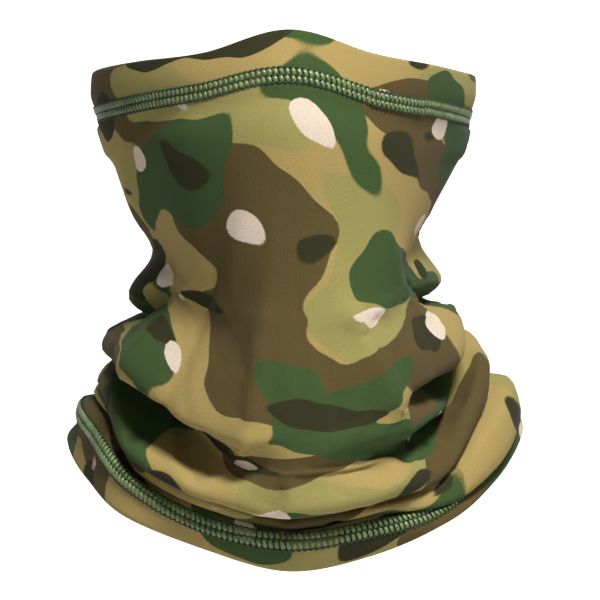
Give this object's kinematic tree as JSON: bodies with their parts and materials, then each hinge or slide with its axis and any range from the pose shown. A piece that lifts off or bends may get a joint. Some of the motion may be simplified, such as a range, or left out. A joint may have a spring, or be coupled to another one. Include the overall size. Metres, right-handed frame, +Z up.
{
  "type": "neck gaiter",
  "caption": "Stretch jersey tube with coverstitched hems, worn over the nose and slouched in folds round the neck.",
  "frame": {"origin": "middle of the neck, at the level where the worn tube is narrowest", "axes": "+Z up along the wearer's neck, -Y towards the nose, +X towards the wearer's left"},
  "size_m": [0.19, 0.2005, 0.2185],
  "materials": {
    "jersey": null,
    "thread": "olive green textured polyester sewing thread with a slight sheen"
  },
  "bodies": {
    "neck_and_shoulders": {"face_panel": "jersey", "neck_folds": "jersey", "bottom_hem": "jersey", "bottom_upper_needle_thread": "thread", "bottom_middle_needle_thread": "thread", "bottom_lower_needle_thread": "thread", "bottom_cover_thread": "thread", "bottom_looper_thread": "thread", "closing_seam_upper_lap": "jersey", "closing_seam_upper_thread_chain": "thread", "closing_seam_lower_lap": "jersey", "closing_seam_lower_thread_chain": "thread"},
    "face_edge": {"top_hem": "jersey", "top_upper_needle_thread": "thread", "top_middle_needle_thread": "thread", "top_lower_needle_thread": "thread", "top_cover_thread": "thread", "top_looper_thread": "thread"}
  },
  "joints": [
    {"name": "pull_down", "type": "slide", "parent": "neck_and_shoulders", "child": "face_edge", "axis": [0, 0, 1], "range_m": [-0.06, 0], "deforming": ["face_panel", "closing_seam_upper_lap", "closing_seam_upper_thread_chain"]}
  ]
}
